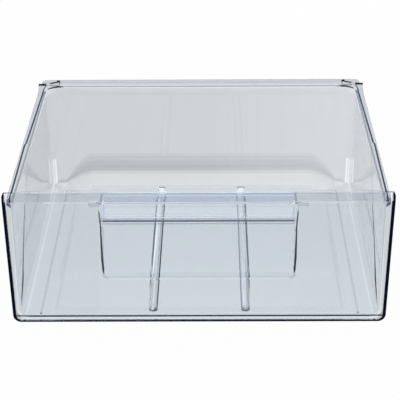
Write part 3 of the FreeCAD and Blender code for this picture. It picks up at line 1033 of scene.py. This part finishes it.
def dress_panel(face):
    """Gives a face of the panel its painted shade, painted glow and material."""
    place = face.calc_center_median()
    x = abs(place.x) / MM
    y = (place.y - front) / MM
    z = place.z / MM
    inward, band = band_at(x, z)
    if inward < band and y < band_depth and z < band_head:
        face.material_index = dark_slot
    elif y > back_far and z > skirt_floor and inward < skirt + skirt_inside_gap:
        face[dark] = skirt_tone
    elif y < front_depth and x > side_shade:
        face[dark] = side_dark_tone if x > side_dark else side_shade_tone
    elif y < front_depth and z < foot_shade:
        face[dark] = foot_shade_tone
    elif y < front_depth and x > flank_start:
        face[dark] = left_flank_tone if place.x < 0 else right_flank_tone
    at_skirt_end = y > skirt_end_depth and z > skirt and inward < skirt + skirt_end_gap
    if at_skirt_end and abs(face.normal.y) > facing:
        face.material_index = dark_slot
    # A dark strip on the sheet's back is painted shade where the floor's front end shows dark.
    at_floor_shade = back_near < y < back_far and floor_shade_low < z < floor_shade_high
    if at_floor_shade and inward > skirt + floor_shade_inset:
        face.material_index = dark_slot
    behind = y > recess_depth and x < recess_half
    if behind and recess_low < z < recess_high:
        face[pale] = recess_glow
    if behind and crease_low < z < crease_high and face.normal.y < -mostly_facing:
        face[dark] = crease_tone
    if z < skirt_floor and y > back_far and face.normal.z > mostly_facing and x < corner_x:
        face[pale] = skirt_floor_glow
    if lean_middle < z < lean_high and y < lean_depth and x < grip_half:
        face[dark] = lean_tone
    if lean_low < z < lean_line and y < strip_depth and flank_start < x < flank_end:
        face[pale] = lean_glow


panel_shape = moulded_copy("front_panel", panel_soft, panel_cuts)
dark = panel_shape.faces.layers.float.new("painted_shade")
pale = panel_shape.faces.layers.float.new("painted_glow")
for face in panel_shape.faces:
    dress_panel(face)

# Behind the sheet, thin opaque dark blades of painted shade stand where the ends of the recess
# walls and of the tub's cheeks show dark. Outlines are given across and up.
recess_blade = [(109.4, 141), (108.5, 136), (108.2, 130), (107.7, 123), (107.1, 100), (106.6, 80),
                (105.7, 66), (106.2, 59.5), (108.0, 65), (109.0, 80), (109.0, 100), (109.1, 123),
                (109.8, 130), (110.0, 136)]
cheek_outer = [(190.55, 147.6), (191.56, 136.6), (193.67, 112.1), (195.59, 89.8), (197.05, 71.0),
               (198.36, 54.5), (199.82, 37.9), (200.97, 22.5)]
cheek_inner = [(200.83, 22.5), (198.62, 37.9), (196.80, 54.5), (195.99, 71.0), (194.83, 89.8),
               (193.05, 112.1), (191.02, 136.6), (190.11, 147.6)]
blade_front = panel_back + 0.05
blade_back = blade_front + 0.1
for side in (-1, 1):
    for outline in (recess_blade, cheek_outer + cheek_inner):
        rings = [[(side * x, y, z) for x, z in outline] for y in (blade_front, blade_back)]
        for face in prism(panel_shape, *rings):
            face.material_index = dark_slot
bmesh.ops.recalc_face_normals(panel_shape, faces=panel_shape.faces)
panel_plastic = clear_plastic("panel_plastic", panel_tint, panel_depth)
panel = finish_piece("panel_shell", panel_shape, panel_plastic, panel_smooth_area)
panel.data.materials.append(dark_edge)
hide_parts("front_panel")

# The finger grip is a folded lip with a top plate, moulded by itself in clear plastic. It
# sits in the panel's opening and closes the recess from above, with a web at each end and
# two small locating tabs.
grip_tint = (0.96, 0.98, 1.0)
grip_depth = 8.0
grip_soft = 0.4
grip_smooth_area = 40
# The whole grip carries a faint painted glow.
grip_glow = 0.04

# Depths of the lip and of the plate's strips, each with its painted glow, and levels of the
# bands at the lip's foot, each with its painted shade.
lip_soft = 0.9
lip_back = 2.6
plate_strips = [(23.8, 0.5), (21.6, 0.9), (18.6, 0.55), (lip_back, 0.17), (0.0, 0.0)]
foot_bands = [(127.6, 0.5), (130.4, 0.35), (132.8, 0.2)]
foot_end = 126.3
foot_turn = 126.5
foot_tone = 0.8
lip_top = 147.2
lip_glow = 0.45
plate_level = 148.5
plate_half = 105.6
plate_end_glow = 0.5
plate_edge_tone = 0.35
grip_web_half = 108.5
grip_web_tone = 0.2
strip_starts = [start for start, glow in reversed(plate_strips) if start > 0]

grip_cuts = [((0, front / MM + depth, 0), (0, 1, 0)) for depth in (lip_soft, *strip_starts)]
grip_cuts += [level_cut(level) for level, tone in foot_bands] + [level_cut(lip_top)]
grip_cuts += [((side * plate_half, 0, 0), (1, 0, 0)) for side in (-1, 1)]


def dress_grip(face):
    """Gives a face of the grip its painted shade, painted glow and material."""
    place = face.calc_center_median()
    x = abs(place.x) / MM
    y = (place.y - front) / MM
    z = place.z / MM
    between_webs = x < grip_half
    if z < foot_turn and y < lip_back:
        face[dark] = foot_tone
    face[pale] = grip_glow
    if x > grip_web_half:
        face[pale] = 0.0
        face[dark] = grip_web_tone
    if y < front_depth and z < foot_bands[-1][0] and between_webs:
        face[dark] = next(tone for level, tone in foot_bands if z < level)
    if z < foot_end and y < lip_back and between_webs:
        face.material_index = dark_slot
    if z > plate_level and y < lip_back and between_webs:
        face[dark] = plate_edge_tone
    if z > lip_top and y < lip_soft:
        face[pale] = lip_glow if face.normal.y < -facing and between_webs else 0.0
    elif z > plate_level:
        strip_glow = next(glow for start, glow in plate_strips if y > start)
        face[pale] = plate_end_glow if x > plate_half else strip_glow


grip_shape = moulded_copy("handle_grip", grip_soft, grip_cuts)
dark = grip_shape.faces.layers.float.new("painted_shade")
pale = grip_shape.faces.layers.float.new("painted_glow")
for face in grip_shape.faces:
    dress_grip(face)
grip_plastic = clear_plastic("grip_plastic", grip_tint, grip_depth)
grip = finish_piece("grip_shell", grip_shape, grip_plastic, grip_smooth_area)
grip.data.materials.append(dark_edge)
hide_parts("handle_grip")

low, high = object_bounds()
